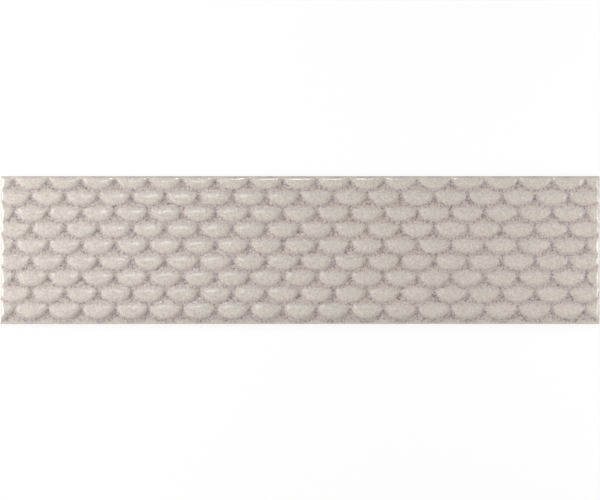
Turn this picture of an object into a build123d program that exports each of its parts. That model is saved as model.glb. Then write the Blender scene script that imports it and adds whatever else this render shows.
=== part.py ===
from build123d import *
import math
import os

os.makedirs("parts", exist_ok=True)

# Millimetres. The tile lies on its back with the glazed face up: X runs along the
# length, Y across the width, Z is up. The origin is the middle of the back, on the
# plane the tile rests on.

# Overall size of the tile
tile_length = 300.0
tile_width = 74.0

# Heights of the face above the resting plane
ground_height = 7.2
crest_rise = 1.6
face_height = ground_height + crest_rise

# Layout of the fish scales. The pitch along the length carries on over the joint to
# the next tile, so that rows of tiles read as one field.
joint_width = 2.0
columns = 18
column_pitch = (tile_length + joint_width) / columns
rows = 9
row_pitch = 8.08
first_tip_margin = 6.65

# One scale: a round coin with a drafted flank, its top bowed over a level line that lies
# near the tip, so that the root sinks towards the row above
scale_radius = 9.4
flank_draft = 20.0
bow_radius = 34.0
crest_reach = 8.0
root_reach = 6.0

# Edges of the tile
pillow_radius = 2.6
arris_chamfer = 0.6

# Shallow pockets of the back
pocket_columns = 8
pocket_rows = 2
pocket_depth = 0.8
back_margin = 7.0
back_rib = 5.0
pocket_draft = 20.0


def scale_stamp():
    """One scale at the origin, its crest at crest_rise above Z = 0 and its tip towards -Y."""
    above = crest_rise + 0.5
    below = 3.0
    draft = math.tan(math.radians(flank_draft))
    coin = Pos(0, 0, (above - below) / 2) * Cone(
        scale_radius + below * draft, scale_radius - above * draft, above + below
    )
    bow = Pos(0, -crest_reach, crest_rise - bow_radius) * Rot(0, 90, 0) * Cylinder(bow_radius, 3 * scale_radius)

    # The root is cut square where the row above covers it, and the sides stop at the
    # planes shared with the neighbours of the same row.
    reach = root_reach + scale_radius + below
    keep = Pos(0, root_reach - reach / 2, 0) * Box(column_pitch, reach, 8.0)
    return coin & bow & keep


def scale_field(stamp):
    """All scales of the face, rows staggered by half a pitch."""
    first_centre = tile_width / 2 - first_tip_margin + scale_radius
    scales = []
    for row in range(rows):
        count = columns + 1 if row % 2 == 0 else columns
        y = first_centre - row * row_pitch
        for column in range(count):
            x = (column - (count - 1) / 2) * column_pitch
            scales.append(Pos(x, y, ground_height) * stamp)
    return scales


# Body with its scales
slab = Pos(0, 0, ground_height / 2) * Box(tile_length, tile_width, ground_height)
relief = slab.fuse(*scale_field(scale_stamp()))

# Pillowed edge all round the face, and a small arris round the back
outline = Pos(0, 0, face_height / 2) * Box(tile_length, tile_width, face_height)
outline = fillet(outline.faces().sort_by(Axis.Z)[-1].edges(), pillow_radius)
outline = chamfer(outline.faces().sort_by(Axis.Z)[0].edges(), arris_chamfer)
tile = relief & outline

# Pockets of the back, with drafted walls, leaving a frame and ribs to rest on
pocket_length = (tile_length - 2 * back_margin - (pocket_columns - 1) * back_rib) / pocket_columns
pocket_width = (tile_width - 2 * back_margin - (pocket_rows - 1) * back_rib) / pocket_rows
with BuildPart() as pocket:
    with BuildSketch():
        Rectangle(pocket_length, pocket_width)
    extrude(amount=pocket_depth, taper=pocket_draft)
spots = GridLocations(
    pocket_length + back_rib, pocket_width + back_rib, pocket_columns, pocket_rows
)
tile = tile.cut(*[spot * pocket.part for spot in spots])

tile.label = "tile"
export_step(tile, "parts/tile.step")
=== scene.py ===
import math

import bpy
import numpy as np
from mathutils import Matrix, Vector


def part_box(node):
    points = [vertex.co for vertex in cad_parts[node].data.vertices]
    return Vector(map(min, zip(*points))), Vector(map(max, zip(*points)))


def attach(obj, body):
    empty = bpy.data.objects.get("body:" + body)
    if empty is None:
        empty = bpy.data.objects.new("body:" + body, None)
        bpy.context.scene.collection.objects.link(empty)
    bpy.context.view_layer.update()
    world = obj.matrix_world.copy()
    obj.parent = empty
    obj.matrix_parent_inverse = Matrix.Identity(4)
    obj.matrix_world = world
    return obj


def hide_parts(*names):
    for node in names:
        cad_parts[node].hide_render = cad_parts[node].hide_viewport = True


mm = 0.001

print("loading the frame")
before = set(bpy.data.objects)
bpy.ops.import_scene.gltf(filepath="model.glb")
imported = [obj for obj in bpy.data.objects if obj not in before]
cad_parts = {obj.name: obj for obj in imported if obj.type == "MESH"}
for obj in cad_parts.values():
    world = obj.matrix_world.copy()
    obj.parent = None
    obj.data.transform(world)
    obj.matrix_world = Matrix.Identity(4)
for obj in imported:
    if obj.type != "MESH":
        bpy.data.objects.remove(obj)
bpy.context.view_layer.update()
tileLow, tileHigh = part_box("tile")
tileLength = tileHigh.x - tileLow.x
tileWidth = tileHigh.y - tileLow.y
groundHeight = 7.2 * mm  # the plain ground between the scales, as in the solid


def deselectAll():
    if bpy.context.object and bpy.context.object.mode != "OBJECT":
        bpy.ops.object.mode_set(mode="OBJECT")
    bpy.ops.object.select_all(action="DESELECT")


def takeHold(piece):
    deselectAll()
    piece.select_set(True)
    bpy.context.view_layer.objects.active = piece


def nameNew(name):
    piece = bpy.context.object
    piece.name = name
    piece.data.name = name
    return piece


def applyAll(piece):
    takeHold(piece)
    for modifier in list(piece.modifiers):
        bpy.ops.object.modifier_apply(modifier=modifier.name)


def bakePlace(piece):
    takeHold(piece)
    bpy.ops.object.transform_apply(location=True, rotation=True, scale=True)


def pickFaces(piece, test):
    # leaves edit mode on, in face mode, with only the faces that pass the test selected
    takeHold(piece)
    bpy.ops.object.mode_set(mode="EDIT")
    bpy.ops.mesh.select_mode(type="FACE")
    bpy.ops.mesh.select_all(action="DESELECT")
    bpy.ops.object.mode_set(mode="OBJECT")
    for face in piece.data.polygons:
        face.select = bool(test(face))
    bpy.ops.object.mode_set(mode="EDIT")


def pickEdges(piece, test):
    # the same for edges, whose test reads their two ends
    takeHold(piece)
    bpy.ops.object.mode_set(mode="EDIT")
    bpy.ops.mesh.select_mode(type="EDGE")
    bpy.ops.mesh.select_all(action="DESELECT")
    bpy.ops.object.mode_set(mode="OBJECT")
    points = piece.data.vertices
    for edge in piece.data.edges:
        edge.select = bool(test(points[edge.vertices[0]].co, points[edge.vertices[1]].co))
    bpy.ops.object.mode_set(mode="EDIT")


# one scale: a coin with a rounded rim, bowed along and across and tipped up, so that its
# crest lies near its tip and its root sinks under the row above
scale = {
    "radius": 9.4 * mm,
    "thickness": 5.0 * mm,
    "sides": 48,
    "rimWidth": 2.5 * mm,
    "rimDepth": 0.65 * mm,
    "rimSteps": 5,
    "rings": 6,  # rings of faces inside the rim
    "bowAlong": 34.0 * mm,  # radii of the two bows
    "bowAcross": 130.0 * mm,
    "tipUp": 12.5,  # degrees
    "rise": 1.6 * mm,  # from the ground to the crest
    # the pad near the tip stands proud of the root and ends in an arched edge
    "padStep": 0.17 * mm,
    "padReach": -2.4 * mm,  # top of the arch, from the middle of the coin
    "padArch": 15.0 * mm,  # radius of the arch
    "padArchSides": 96,
    "padArchDepth": 40.0 * mm,
}


def bow(piece, radius):
    # bends the piece down on both sides of its middle, along Y; its top keeps its length
    piece.rotation_euler = (-math.pi / 2, 0, 0)
    bakePlace(piece)
    bend = piece.modifiers.new("bow", "SIMPLE_DEFORM")
    bend.deform_method = "BEND"
    bend.deform_axis = "X"
    bend.angle = -piece.dimensions.z / radius
    applyAll(piece)
    piece.rotation_euler = (math.pi / 2, 0, 0)
    bakePlace(piece)


def makeScale():
    s = scale
    deselectAll()
    bpy.ops.mesh.primitive_cylinder_add(
        vertices=s["sides"],
        radius=s["radius"],
        depth=s["thickness"],
        location=(0, 0, -s["thickness"] / 2),
    )
    coin = nameNew("scaleStamp")
    bakePlace(coin)
    # round the upper rim, and flatten its round to the rim's depth
    middle = -s["thickness"] / 2
    pickEdges(coin, lambda a, b: a.z > middle and b.z > middle)
    bpy.ops.mesh.bevel(
        offset=s["rimWidth"], segments=s["rimSteps"], profile=0.5, affect="EDGES"
    )
    bpy.ops.mesh.select_all(action="SELECT")
    bpy.ops.transform.resize(
        value=(1, 1, s["rimDepth"] / s["rimWidth"]), center_override=(0, 0, 0)
    )
    bpy.ops.object.mode_set(mode="OBJECT")
    # ring the face, so that it can be bowed
    pickFaces(coin, lambda f: f.normal.z > 0 and len(f.vertices) == s["sides"])
    for ring in range(s["rings"]):
        bpy.ops.mesh.inset(thickness=(s["radius"] - s["rimWidth"]) / (s["rings"] + 1))
    bpy.ops.mesh.poke()
    bpy.ops.object.mode_set(mode="OBJECT")
    bow(coin, s["bowAlong"])
    coin.rotation_euler = (0, 0, math.pi / 2)
    bakePlace(coin)
    bow(coin, s["bowAcross"])
    coin.rotation_euler = (0, 0, -math.pi / 2)
    bakePlace(coin)
    # tip it up, and set its crest at the face's height
    coin.rotation_euler = (-math.radians(s["tipUp"]), 0, 0)
    bakePlace(coin)
    crest = max(v.co.z for v in coin.data.vertices)
    coin.location = (0, 0, groundHeight + s["rise"] - crest)
    bakePlace(coin)
    return raisePad(coin)


def raisePad(coin):
    # the root is the same coin a step lower; the pad keeps its height inside a wide arch
    s = scale
    takeHold(coin)
    bpy.ops.object.duplicate()
    pad = nameNew("scalePad")
    deselectAll()
    bpy.ops.mesh.primitive_cylinder_add(
        vertices=s["padArchSides"],
        radius=s["padArch"],
        depth=s["padArchDepth"],
        location=(0, s["padReach"] - s["padArch"], 0),
    )
    arch = nameNew("padArch")
    bakePlace(arch)
    cut = pad.modifiers.new("padArch", "BOOLEAN")
    cut.operation = "INTERSECT"
    cut.object = arch
    applyAll(pad)
    coin.location = (0, 0, -s["padStep"])
    bakePlace(coin)
    takeHold(coin)
    pad.select_set(True)
    bpy.ops.object.join()
    deselectAll()
    arch.select_set(True)
    bpy.ops.object.delete()
    return coin


# the scales lie in staggered rows, whose pitch carries on over the joint to the next tile
layout = {
    "columns": 18,
    "rows": 9,
    "joint": 2.0 * mm,
    "rowPitch": 8.08 * mm,
    "firstTip": 5.95 * mm,  # the first row's tips lie this far inside the edge
    "tipReach": 8.7 * mm,  # from the middle of a scale to its tip, as bowed and tipped up
    "groundMargin": 10.0 * mm,  # the ground reaches this far past the tile
}


def repeat(piece, count, offset):
    row = piece.modifiers.new("repeat", "ARRAY")
    row.count = count
    row.use_relative_offset = False
    row.use_constant_offset = True
    row.constant_offset_displace = offset
    applyAll(piece)


def makeScaleField(stamp):
    # every other row, from the first, has one scale more and is cut by the ends of the tile
    lay = layout
    columnPitch = (tileLength + lay["joint"]) / lay["columns"]
    firstCentre = tileWidth / 2 - lay["firstTip"] + lay["tipReach"]
    fields = []
    for first, across in enumerate((lay["columns"] + 1, lay["columns"])):
        takeHold(stamp)
        bpy.ops.object.duplicate()
        field = nameNew("scaleField")
        field.location = (
            -(across - 1) / 2 * columnPitch,
            firstCentre - first * lay["rowPitch"],
            0,
        )
        bakePlace(field)
        repeat(field, across, (columnPitch, 0, 0))
        repeat(field, (lay["rows"] - first + 1) // 2, (0, -2 * lay["rowPitch"], 0))
        fields.append(field)
    deselectAll()
    bpy.ops.mesh.primitive_plane_add(size=1, location=(0, 0, groundHeight))
    ground = nameNew("groundSheet")
    ground.scale = (
        tileLength + 2 * lay["groundMargin"],
        tileWidth + 2 * lay["groundMargin"],
        1,
    )
    bakePlace(ground)
    takeHold(fields[0])
    for other in (fields[1], ground):
        other.select_set(True)
    bpy.ops.object.join()
    deselectAll()
    stamp.select_set(True)
    bpy.ops.object.delete()
    return fields[0]


# the tile: a fine sheet laid over the scales, softened as glaze softens them, and closed below
tile = {
    "pitch": 0.52 * mm,  # spacing of the sheet
    "startHeight": 20.0 * mm,  # the sheet is laid down from here
    "border": 0.5 * mm,  # it stops this far inside the edge, and the edge is drawn from there
    "pillowRound": 2.6 * mm,
    "pillowSteps": 5,
    "softening": 1.0 * mm,
    "edgeSoftening": 0.4 * mm,
    "paintedEdgeLight": 0.12,  # share of the edge's drop taken off the pool, which pales the rounded edge as painted light
    "poolNear": 0.5 * mm,
    "poolFar": 2.2 * mm,
    "waviness": 0.05 * mm,
    "waveLength": 4.5 * mm,
    "waveDetail": 1,
    "glazeEnd": 2.4 * mm,  # height on the sides where the glaze stops
    "glazeThickness": 0.15 * mm,
    "arris": 0.6 * mm,
    "sharpAngle": 40.0,  # degrees, past which an edge isn't shaded smooth
}


def makeSheet(field):
    t = tile
    acrossX = tileLength - 2 * t["border"]
    acrossY = tileWidth - 2 * t["border"]
    stepsX = round(acrossX / t["pitch"])
    stepsY = round(acrossY / t["pitch"])
    deselectAll()
    bpy.ops.mesh.primitive_grid_add(
        x_subdivisions=stepsX,
        y_subdivisions=stepsY,
        size=1,
        location=(0, 0, t["startHeight"]),
    )
    sheet = nameNew("reliefTile")
    sheet.scale = (acrossX, acrossY, 1)
    bakePlace(sheet)
    drape = sheet.modifiers.new("drape", "SHRINKWRAP")
    drape.target = field
    drape.wrap_method = "PROJECT"
    drape.use_project_z = True
    drape.use_negative_direction = True
    drape.use_positive_direction = False
    applyAll(sheet)
    return sheet, stepsX, stepsY


def readPoints(piece):
    flat = np.empty(len(piece.data.vertices) * 3)
    piece.data.vertices.foreach_get("co", flat)
    return flat.reshape(-1, 3)


def writePoints(piece, points):
    piece.data.vertices.foreach_set("co", points.ravel())
    piece.data.update()


def pillowDrop(inside):
    # how far the rounded edge lies below the crests, at this distance inside the edge
    r = tile["pillowRound"]
    near = np.clip(r - inside, 0, r)
    return r - np.sqrt(r * r - near * near)


def blur(grid, sigma):
    # gaussian blur of the height grid, sigma in steps of the sheet
    reach = int(3 * sigma) + 1
    weights = np.exp(-0.5 * (np.arange(-reach, reach + 1) / sigma) ** 2)
    weights /= weights.sum()
    padded = np.pad(grid, reach, mode="edge")
    for axis in (0, 1):
        padded = np.apply_along_axis(
            lambda line: np.convolve(line, weights, "valid"), axis, padded
        )
    return padded


def smooth(sheet, reach):
    # one smoothing at half strength spreads a height by half a step of the sheet, and
    # the square of the spread grows with the count
    soft = sheet.modifiers.new("glazeFlow", "SMOOTH")
    soft.factor = 0.5
    soft.iterations = round(4 * (reach / tile["pitch"]) ** 2)
    soft.use_x = False
    soft.use_y = False
    applyAll(sheet)


def softenSheet(sheet, stepsX, stepsY):
    t = tile
    smooth(sheet, t["softening"])
    # the softening lowers the crests, so the relief is brought back to the full height
    points = readPoints(sheet)
    stretch = (tileHigh.z - groundHeight) / (points[:, 2].max() - groundHeight)
    points[:, 2] = groundHeight + (points[:, 2] - groundHeight) * stretch
    # the pillowed edge cuts off what stands above it
    insideX = tileLength / 2 - abs(points[:, 0])
    insideY = tileWidth / 2 - abs(points[:, 1])
    drop = pillowDrop(np.minimum(insideX, insideY))
    points[:, 2] = np.minimum(points[:, 2], tileHigh.z - drop)
    writePoints(sheet, points)
    smooth(sheet, t["edgeSoftening"])
    # slow waves in the glaze, which only lower it
    waves = bpy.data.textures.new("glazeWaves", "CLOUDS")
    waves.noise_scale = t["waveLength"]
    waves.noise_depth = t["waveDetail"]
    waver = sheet.modifiers.new("glazeWaves", "DISPLACE")
    waver.texture = waves
    waver.texture_coords = "LOCAL"
    waver.direction = "Z"
    waver.strength = t["waviness"]
    waver.mid_level = 1.0
    applyAll(sheet)
    # glaze pools where the sheet lies lower than the face round it
    points = readPoints(sheet)
    heights = points[:, 2].reshape(stepsY + 1, stepsX + 1)
    near = blur(heights, t["poolNear"] / t["pitch"])
    far = blur(heights, t["poolFar"] / t["pitch"])
    # over the pillowed edge the pool is lowered, a painted light that pales the rounded edge
    poolAndEdgeLight = far - near - t["paintedEdgeLight"] * drop.reshape(heights.shape)
    layer = sheet.data.attributes.new("pool", "FLOAT", "POINT")
    layer.data.foreach_set("value", (poolAndEdgeLight / mm).ravel())


def pickRim(piece):
    takeHold(piece)
    bpy.ops.object.mode_set(mode="EDIT")
    bpy.ops.mesh.select_mode(type="EDGE")
    bpy.ops.mesh.select_all(action="DESELECT")
    bpy.ops.mesh.select_non_manifold(
        use_wire=False,
        use_boundary=True,
        use_multi_face=False,
        use_non_contiguous=False,
        use_verts=False,
    )


def drawRim(fromInside, toInside, down=0.0):
    # draws the open rim of the sheet out to a new distance inside the edge, and down
    bpy.ops.mesh.extrude_region_move(TRANSFORM_OT_translate={"value": (0, 0, -down)})
    factorX = (tileLength / 2 - toInside) / (tileLength / 2 - fromInside)
    factorY = (tileWidth / 2 - toInside) / (tileWidth / 2 - fromInside)
    bpy.ops.transform.resize(value=(factorX, factorY, 1), center_override=(0, 0, 0))


def levelRim(height):
    bpy.ops.transform.resize(value=(1, 1, 0), center_override=(0, 0, height))


def drawSides(sheet):
    t = tile
    pickRim(sheet)
    # the last of the pillowed edge
    inside = t["border"]
    drop = float(pillowDrop(np.array(inside)))
    for k in range(1, t["pillowSteps"]):
        share = 1 - k / (t["pillowSteps"] - 1)
        nextInside = t["border"] * share ** 2
        nextDrop = float(pillowDrop(np.array(nextInside)))
        drawRim(inside, nextInside, nextDrop - drop)
        inside, drop = nextInside, nextDrop
    # the glazed side, the step in where the glaze stops, the bare foot and its arris
    drawRim(0, 0, tileHigh.z - drop - t["glazeEnd"])
    drawRim(0, t["glazeThickness"], t["glazeThickness"])
    drawRim(t["glazeThickness"], t["glazeThickness"])
    levelRim(t["arris"])
    drawRim(t["glazeThickness"], t["arris"])
    levelRim(0)
    bpy.ops.object.mode_set(mode="OBJECT")


# shallow pockets of the back, as in the solid
back = {
    "columns": 8,
    "rows": 2,
    "margin": 7.0 * mm,
    "rib": 5.0 * mm,
    "depth": 0.8 * mm,
    "draft": 20.0,  # degrees
    "strip": 1.0 * mm,  # of the frame, kept round the pockets
}


def makeBack():
    b = back
    sizeX = tileLength - 2 * b["margin"]
    sizeY = tileWidth - 2 * b["margin"]
    pocketX = (sizeX - (b["columns"] - 1) * b["rib"]) / b["columns"]
    pocketY = (sizeY - (b["rows"] - 1) * b["rib"]) / b["rows"]
    deselectAll()
    bpy.ops.mesh.primitive_plane_add(size=1, location=(0, 0, 0), rotation=(math.pi, 0, 0))
    plate = nameNew("backPlate")
    plate.scale = (sizeX + 2 * b["strip"], sizeY + 2 * b["strip"], 1)
    bakePlace(plate)
    bpy.ops.object.mode_set(mode="EDIT")
    for along, size, pocket, count in (
        ((1, 0, 0), sizeX, pocketX, b["columns"]),
        ((0, 1, 0), sizeY, pocketY, b["rows"]),
    ):
        cuts = [-size / 2, size / 2]
        for k in range(1, count):
            ribEnd = -size / 2 + k * (pocket + b["rib"])
            cuts += [ribEnd, ribEnd - b["rib"]]
        for cut in cuts:
            bpy.ops.mesh.select_all(action="SELECT")
            bpy.ops.mesh.bisect(plane_co=Vector(along) * cut, plane_no=along)
    bpy.ops.object.mode_set(mode="OBJECT")
    # the pockets are the largest faces
    pickFaces(plate, lambda f: f.area > 0.9 * pocketX * pocketY)
    bpy.ops.mesh.inset(
        thickness=b["depth"] * math.tan(math.radians(b["draft"])),
        depth=-b["depth"],
        use_individual=True,
    )
    bpy.ops.object.mode_set(mode="OBJECT")
    return plate


def closeTile(sheet, plate):
    takeHold(sheet)
    plate.select_set(True)
    bpy.ops.object.join()
    pickRim(sheet)
    bpy.ops.mesh.fill(use_beauty=True)
    bpy.ops.mesh.select_all(action="SELECT")
    bpy.ops.mesh.normals_make_consistent(inside=False)
    bpy.ops.object.mode_set(mode="OBJECT")


def linear(hexColour):
    # an sRGB hex colour as linear values
    parts = [int(hexColour[k : k + 2], 16) / 255 for k in (1, 3, 5)]
    return tuple(
        c / 12.92 if c <= 0.04045 else ((c + 0.055) / 1.055) ** 2.4 for c in parts
    ) + (1.0,)


def addNode(material, kind, settings=None, links=None):
    # adds a node, sets its properties or sockets, and links its inputs from outputs
    node = material.node_tree.nodes.new(kind)
    for key, value in (settings or {}).items():
        if isinstance(key, str) and hasattr(node, key):
            setattr(node, key, value)
        else:
            node.inputs[key].default_value = value
    for key, source in (links or {}).items():
        material.node_tree.links.new(source, node.inputs[key])
    return node


def newMaterial(name):
    material = bpy.data.materials.new(name)
    material.use_nodes = True
    material.node_tree.nodes.clear()
    return material


# glossy stoneware glaze, poured over the relief: warm and pale where it runs thin over the
# crests, mauve grey where it pools, and broken all over into fine cells with darker veins
glaze = {
    # colours from the thinnest glaze to the deepest pool
    "depths": (
        (0.0, "#CDC5BB"),
        (0.28, "#C6BDB3"),
        (0.44, "#C0B5AE"),
        (0.82, "#B7ABA6"),
        (1.0, "#A59994"),
    ),
    "poolStart": -0.17,  # values of the pool attribute at the two ends of the colours
    "poolEnd": 0.45,
    "waver": 0.17,  # how much the noise below adds to the pool attribute
    # size, detail and roughness of each noise
    "noises": {
        "waver": (1.6 * mm, 3.0, 0.5),
        "cloud": (9.0 * mm, 4.0, 0.6),
        "grain": (1.0 * mm, 2.0, 0.6),
        "warp": (2.2 * mm, 2.0, 0.5),
        "gap": (1.4 * mm, 2.0, 0.5),
        "peel": (2.0 * mm, 1.0, 0.4),
    },
    # how far the clouds and the grain lighten and darken the glaze, as shares
    "shadeDepths": {"cloud": 0.035, "grain": 0.14},
    "shadeRange": (0.3, 0.7),  # most of a noise lies between these values
    # fine cells, edged with veins
    "cellSize": 1.75 * mm,
    "warpReach": 2.2 * mm,  # the cells are pulled about by up to half of this
    "vein": "#6F6566",
    "veinWidth": 0.14,  # as a share of a cell
    "veinGaps": (0.38, 0.56),  # noise between these values lets a vein show
    "veinDepths": (0.27, 0.59),  # veins strengthen between these depths of the glaze
    "veinShares": (0.20, 0.95),  # from the first of these shares to the second
    # fine unevenness of the fired surface
    "peelDepth": 0.12 * mm,
    "peelStrength": 0.6,
    "roughness": 0.15,
    "ior": 1.5,
}


def makeGlaze():
    g = glaze
    m = newMaterial("pooledReliefGlaze")
    place = addNode(m, "ShaderNodeTexCoord").outputs["Object"]
    # the pool attribute also carries a painted light that pales the rounded edge of the tile
    pool = addNode(m, "ShaderNodeAttribute", {"attribute_name": "pool"}).outputs["Fac"]
    noises = {}
    for name, (size, detail, roughness) in g["noises"].items():
        noises[name] = addNode(
            m,
            "ShaderNodeTexNoise",
            {"Scale": 1 / size, "Detail": detail, "Roughness": roughness},
            {"Vector": place},
        ).outputs
    # the borders of the pools waver
    border = addNode(
        m,
        "ShaderNodeMath",
        {"operation": "MULTIPLY_ADD", 1: g["waver"]},
        {0: noises["waver"]["Fac"], 2: pool},
    ).outputs[0]
    meanWaver = 0.5 * g["waver"]
    depth = addNode(
        m,
        "ShaderNodeMapRange",
        {"From Min": g["poolStart"] + meanWaver, "From Max": g["poolEnd"] + meanWaver},
        {"Value": border},
    ).outputs["Result"]
    body = addNode(m, "ShaderNodeValToRGB", None, {"Fac": depth})
    stops = body.color_ramp.elements
    stops[0].color = linear(g["depths"][0][1])
    stops[1].color = linear(g["depths"][-1][1])
    for spot, colour in g["depths"][1:-1]:
        stops.new(spot).color = linear(colour)
    # slow clouds and a fine grain in the glaze
    shaded = body.outputs["Color"]
    for name, share in g["shadeDepths"].items():
        shade = addNode(
            m,
            "ShaderNodeMapRange",
            {
                "From Min": g["shadeRange"][0],
                "From Max": g["shadeRange"][1],
                "To Min": 1 - share,
                "To Max": 1 + share,
            },
            {"Value": noises[name]["Fac"]},
        ).outputs["Result"]
        shaded = addNode(
            m, "ShaderNodeVectorMath", {"operation": "SCALE"}, {0: shaded, "Scale": shade}
        ).outputs[0]
    # the cells, and their veins, which come and go and are strongest in the pools
    pulled = addNode(
        m,
        "ShaderNodeVectorMath",
        {"operation": "MULTIPLY_ADD", 1: (g["warpReach"],) * 3},
        {0: noises["warp"]["Color"], 2: place},
    ).outputs[0]
    cells = addNode(
        m,
        "ShaderNodeTexVoronoi",
        {"feature": "DISTANCE_TO_EDGE", "Scale": 1 / g["cellSize"]},
        {"Vector": pulled},
    ).outputs["Distance"]
    veins = addNode(
        m,
        "ShaderNodeMapRange",
        {"From Min": 0.0, "From Max": g["veinWidth"], "To Min": 1.0, "To Max": 0.0},
        {"Value": cells},
    ).outputs["Result"]
    gaps = addNode(
        m,
        "ShaderNodeMapRange",
        {"From Min": g["veinGaps"][0], "From Max": g["veinGaps"][1]},
        {"Value": noises["gap"]["Fac"]},
    ).outputs["Result"]
    strength = addNode(
        m,
        "ShaderNodeMapRange",
        {
            "From Min": g["veinDepths"][0],
            "From Max": g["veinDepths"][1],
            "To Min": g["veinShares"][0],
            "To Max": g["veinShares"][1],
        },
        {"Value": depth},
    ).outputs["Result"]
    for factor in (gaps, strength):
        veins = addNode(
            m, "ShaderNodeMath", {"operation": "MULTIPLY"}, {0: veins, 1: factor}
        ).outputs[0]
    colour = addNode(
        m,
        "ShaderNodeMix",
        {"data_type": "RGBA", 7: linear(g["vein"])},
        {0: veins, 6: shaded},
    ).outputs[2]
    bump = addNode(
        m,
        "ShaderNodeBump",
        {"Strength": g["peelStrength"], "Distance": g["peelDepth"]},
        {"Height": noises["peel"]["Fac"]},
    ).outputs["Normal"]
    shader = addNode(
        m,
        "ShaderNodeBsdfPrincipled",
        {"Roughness": g["roughness"], "IOR": g["ior"]},
        {"Base Color": colour, "Normal": bump},
    )
    addNode(m, "ShaderNodeOutputMaterial", None, {"Surface": shader.outputs[0]})
    return m


# unglazed biscuit of the back and the foot of the sides: pale buff, matt, with a faint grain
biscuit = {
    "light": "#DDD0BC",
    "dark": "#CDBDA5",
    "grain": 0.6 * mm,
    "grainDetail": 4.0,
    "grainDepth": 0.1 * mm,
    "grainStrength": 0.4,
    "roughness": 0.9,
}


def makeBiscuit():
    b = biscuit
    m = newMaterial("unglazedBiscuit")
    place = addNode(m, "ShaderNodeTexCoord").outputs["Object"]
    grain = addNode(
        m,
        "ShaderNodeTexNoise",
        {"Scale": 1 / b["grain"], "Detail": b["grainDetail"]},
        {"Vector": place},
    ).outputs["Fac"]
    colour = addNode(
        m,
        "ShaderNodeMix",
        {"data_type": "RGBA", 6: linear(b["dark"]), 7: linear(b["light"])},
        {0: grain},
    ).outputs[2]
    bump = addNode(
        m,
        "ShaderNodeBump",
        {"Strength": b["grainStrength"], "Distance": b["grainDepth"]},
        {"Height": grain},
    ).outputs["Normal"]
    shader = addNode(
        m,
        "ShaderNodeBsdfPrincipled",
        {"Roughness": b["roughness"]},
        {"Base Color": colour, "Normal": bump},
    )
    addNode(m, "ShaderNodeOutputMaterial", None, {"Surface": shader.outputs[0]})
    return m


print("modelling the scales")
field = makeScaleField(makeScale())
print("laying the face over the scales")
sheet, stepsX, stepsY = makeSheet(field)
bpy.data.objects.remove(field)
softenSheet(sheet, stepsX, stepsY)
print("drawing the sides and the back")
drawSides(sheet)
closeTile(sheet, makeBack())
takeHold(sheet)
bpy.ops.object.shade_smooth_by_angle(angle=math.radians(tile["sharpAngle"]))
print("glazing")
sheet.data.materials.append(makeGlaze())
sheet.data.materials.append(makeBiscuit())
for face in sheet.data.polygons:
    if face.center.z < tile["glazeEnd"]:
        face.material_index = 1

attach(sheet, "root")
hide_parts("tile")

print("floor, light and camera")
studio = {
    "floorSize": 6.0,
    "floorPaint": 0.9,
    "floorWhite": 1.02,
    "floorWhiteShare": 0.85,  # the rest of what is seen is paint, which takes the shadow
    "worldStrength": 0.35,
    "cameraHeight": 2.4,  # above the crests
    "viewWidth": 0.300,
    "sensorWidth": 36,
    "clipEnd": 20,
}
# a raking softbox from the left and a broad fill from the right light the tile, and two small
# lamps glint on the scales; two more draw the streaks along the top edge and the right end,
# and show in the gloss only, so that they add nothing to the light on the tile
lamps = {
    "softbox": {
        "place": (-0.58, 0.05, 0.34),
        "size": (0.32, 0.22),
        "power": 3.75,
        "glossOnly": False,
    },
    "rightFill": {
        "place": (0.36, 0.0, 0.17),
        "size": (0.24, 0.24),
        "power": 0.6,
        "glossOnly": False,
    },
    "glint": {
        "place": (-0.08, 0.105, 0.42),
        "size": (0.08, 0.05),
        "power": 0.075,
        "glossOnly": False,
    },
    "cornerGlint": {
        "place": (-0.30, 0.15, 0.50),
        "size": (0.06, 0.06),
        "power": 0.12,
        "glossOnly": False,
    },
    "topGlint": {
        "place": (0.0, 0.38, 0.38),
        "size": (0.08, 0.03),
        "power": 0.7,
        "glossOnly": True,
    },
    "rightGlint": {
        "place": (0.29, 0.0, 0.085),
        "size": (0.03, 0.12),
        "power": 0.13,
        "glossOnly": True,
    },
}


def seenShare(material):
    # 1 where the camera sees it straight, mirrored or through glass, and 0 for its light
    path = addNode(material, "ShaderNodeLightPath").outputs
    seen = path["Is Camera Ray"]
    for ray in ("Is Glossy Ray", "Is Transmission Ray"):
        seen = addNode(
            material, "ShaderNodeMath", {"operation": "MAXIMUM"}, {0: seen, 1: path[ray]}
        ).outputs[0]
    return seen


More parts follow.
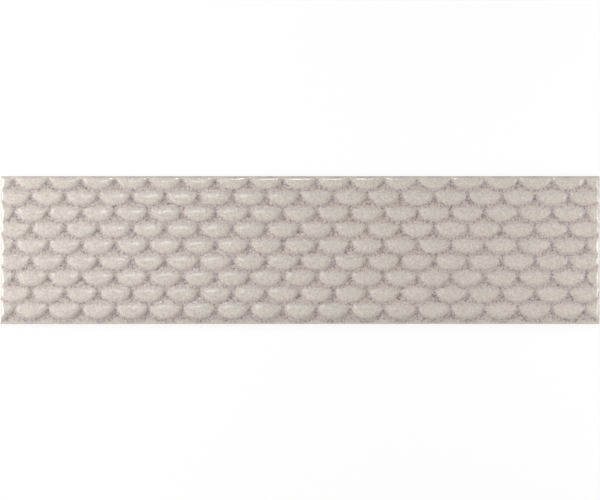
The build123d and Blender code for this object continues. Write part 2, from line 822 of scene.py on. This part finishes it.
def makeFloor():
    s = studio
    deselectAll()
    bpy.ops.mesh.primitive_plane_add(size=s["floorSize"], location=(0, 0, 0))
    floor = nameNew("studioFloor")
    m = newMaterial("paleFloor")
    share = addNode(
        m,
        "ShaderNodeMath",
        {"operation": "MULTIPLY", 1: s["floorWhiteShare"]},
        {0: seenShare(m)},
    )
    paint = addNode(m, "ShaderNodeBsdfDiffuse", {"Color": (s["floorPaint"],) * 3 + (1,)})
    white = addNode(
        m, "ShaderNodeEmission", {"Color": (1, 1, 1, 1), "Strength": s["floorWhite"]}
    )
    both = addNode(
        m,
        "ShaderNodeMixShader",
        None,
        {0: share.outputs[0], 1: paint.outputs[0], 2: white.outputs[0]},
    )
    addNode(m, "ShaderNodeOutputMaterial", None, {"Surface": both.outputs[0]})
    floor.data.materials.append(m)


def makeWorld():
    world = bpy.data.worlds.new("studioWorld")
    world.use_nodes = True
    world.node_tree.nodes.clear()
    bpy.context.scene.world = world
    lit = addNode(
        world,
        "ShaderNodeBackground",
        {"Color": (1, 1, 1, 1), "Strength": studio["worldStrength"]},
    )
    shown = addNode(
        world, "ShaderNodeBackground", {"Color": (1, 1, 1, 1), "Strength": 1.0}
    )
    both = addNode(
        world,
        "ShaderNodeMixShader",
        None,
        {0: seenShare(world), 1: lit.outputs[0], 2: shown.outputs[0]},
    )
    addNode(world, "ShaderNodeOutputWorld", None, {"Surface": both.outputs[0]})


def makeLamps():
    for name, entry in lamps.items():
        deselectAll()
        bpy.ops.object.light_add(type="AREA", location=entry["place"])
        lamp = bpy.context.object
        lamp.name = name
        lamp.data.shape = "RECTANGLE"
        lamp.data.size, lamp.data.size_y = entry["size"]
        lamp.data.energy = entry["power"]
        lamp.visible_diffuse = not entry["glossOnly"]
        # it points at the middle of the tile
        lamp.rotation_euler = (-Vector(entry["place"])).to_track_quat("-Z", "Y").to_euler()


def makeCamera():
    # a long lens straight above the tile, so that its length fills the frame's width
    s = studio
    deselectAll()
    bpy.ops.object.camera_add(
        location=(0, 0, tileHigh.z + s["cameraHeight"]), rotation=(0, 0, 0)
    )
    camera = bpy.context.object
    camera.data.sensor_width = s["sensorWidth"]
    camera.data.lens = s["sensorWidth"] * s["cameraHeight"] / s["viewWidth"]
    camera.data.clip_end = s["clipEnd"]
    bpy.context.scene.camera = camera


makeFloor()
makeWorld()
makeLamps()
makeCamera()
bpy.context.scene.view_settings.view_transform = "Standard"
